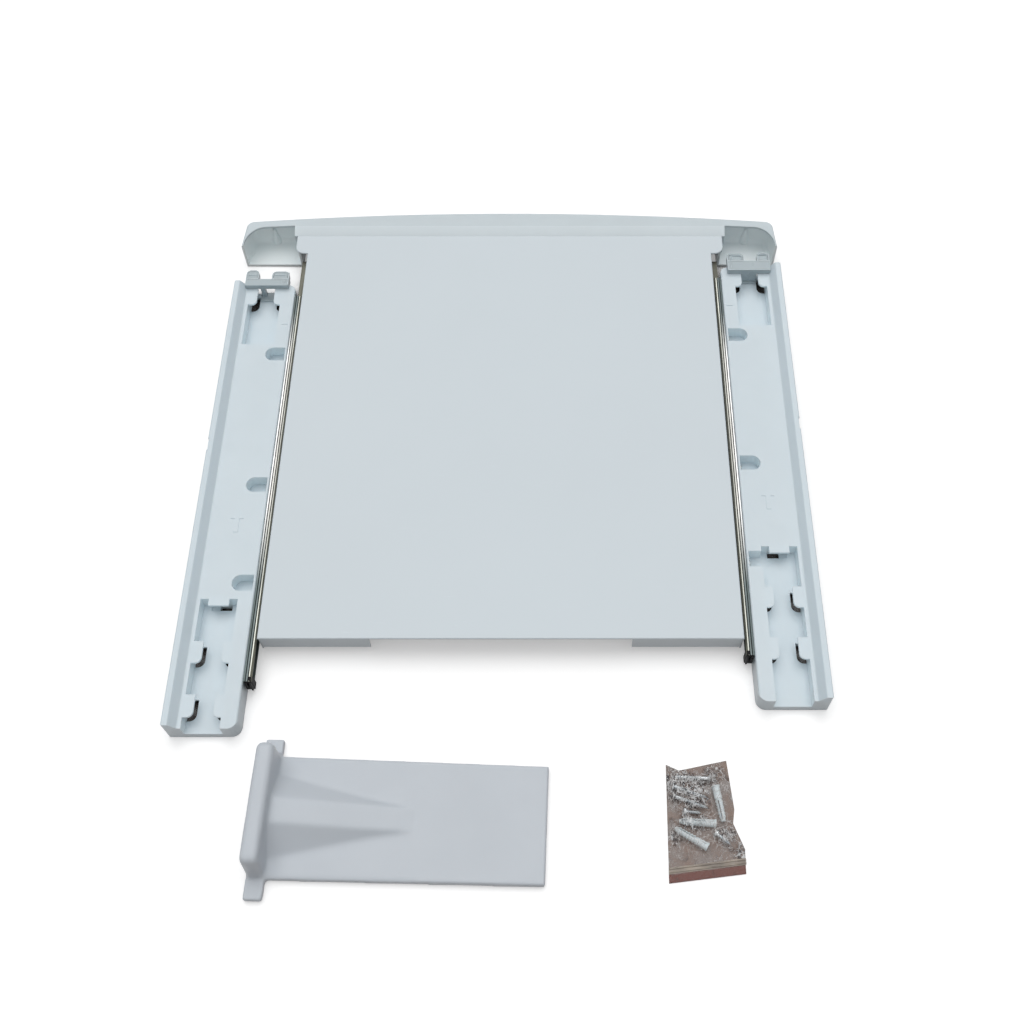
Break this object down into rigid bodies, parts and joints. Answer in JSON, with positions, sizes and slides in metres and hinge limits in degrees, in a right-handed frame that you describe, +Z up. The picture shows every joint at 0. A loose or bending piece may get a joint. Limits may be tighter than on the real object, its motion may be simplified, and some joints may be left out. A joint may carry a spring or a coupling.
{
  "type": "washer dryer stacking kit",
  "caption": "Stacking kit for a dryer on a washer: rails with hooks, dryer stops and ball runners, a pull-out shelf with a bowed front panel, a loose bracket and a bag of fixings.",
  "frame": {"origin": "middle of the whole kit's box, on the surface that it lies on", "axes": "+X to the right and +Y towards the shelf's front panel, +Z up, with the kit lying flat"},
  "size_m": [0.6, 0.7514, 0.0425],
  "materials": {
    "shelf_coated_sheet": "satin white-grey powder coat on folded sheet",
    "panel_plastic": "satin moulded plastic in cool white-grey",
    "rail_plastic": "fine-grained moulded plastic in cool white-grey",
    "bracket_plastic": "fine-grained moulded plastic in cool white-grey",
    "clip_plastic": "milky, slightly see-through plastic",
    "runner_steel": "bright zinc-plated rolled strip",
    "cage_steel": "dull zinc-plated strip",
    "ball_steel": "polished bearing balls",
    "stopper_plastic": "black plastic",
    "screw_zinc": "bright zinc-plated steel",
    "bag_film": "clear crinkled film",
    "zip_film": "thick milky film",
    "plug_plastic": "pale grey plastic"
  },
  "bodies": {
    "shelf_body": {"shelf_tray": "shelf_coated_sheet", "front_panel": "panel_plastic", "front_panel_screws": "screw_zinc", "left_inner_runner": "runner_steel", "right_inner_runner": "runner_steel", "inner_runner_screws": "screw_zinc"},
    "left_rail_body": {"left_rail": "rail_plastic", "left_outer_runner": "runner_steel", "left_runner_stopper": "stopper_plastic", "left_runner_screws": "screw_zinc", "left_front_clip": "clip_plastic"},
    "right_rail_body": {"right_rail": "rail_plastic", "right_outer_runner": "runner_steel", "right_runner_stopper": "stopper_plastic", "right_runner_screws": "screw_zinc", "right_front_clip": "clip_plastic"},
    "left_cage_body": {"left_ball_cage": "cage_steel", "left_runner_balls": "ball_steel"},
    "right_cage_body": {"right_ball_cage": "cage_steel", "right_runner_balls": "ball_steel"},
    "rear_bracket_body": {"rear_stop_bracket": "bracket_plastic"},
    "fixings_bag_body": {"fixings_bag": "bag_film", "bag_zip_strip": "zip_film", "long_screws": "screw_zinc", "short_screws": "screw_zinc", "wall_plugs": "plug_plastic"}
  },
  "joints": [
    {"name": "left_rail_slide", "type": "slide", "parent": "shelf_body", "child": "left_rail_body", "axis": [0, 1, 0], "range_m": [-0.2946, 0.045]},
    {"name": "right_rail_slide", "type": "slide", "parent": "shelf_body", "child": "right_rail_body", "axis": [0, 1, 0], "range_m": [-0.3204, 0.0192]},
    {"name": "left_cage_slide", "type": "slide", "parent": "shelf_body", "child": "left_cage_body", "axis": [0, 1, 0], "range_m": [-0.1473, 0.0225]},
    {"name": "right_cage_slide", "type": "slide", "parent": "shelf_body", "child": "right_cage_body", "axis": [0, 1, 0], "range_m": [-0.1602, 0.0096]},
    {"name": "rear_bracket_lift", "type": "slide", "parent": "shelf_body", "child": "rear_bracket_body", "axis": [0, 0, 1], "range_m": [0, 0.3]},
    {"name": "fixings_bag_lift", "type": "slide", "parent": "shelf_body", "child": "fixings_bag_body", "axis": [0, 0, 1], "range_m": [0, 0.3]}
  ],
  "couplings": [
    {"joint": "left_cage_slide", "follows": "left_rail_slide", "ratio": 0.5},
    {"joint": "right_cage_slide", "follows": "right_rail_slide", "ratio": 0.5}
  ]
}
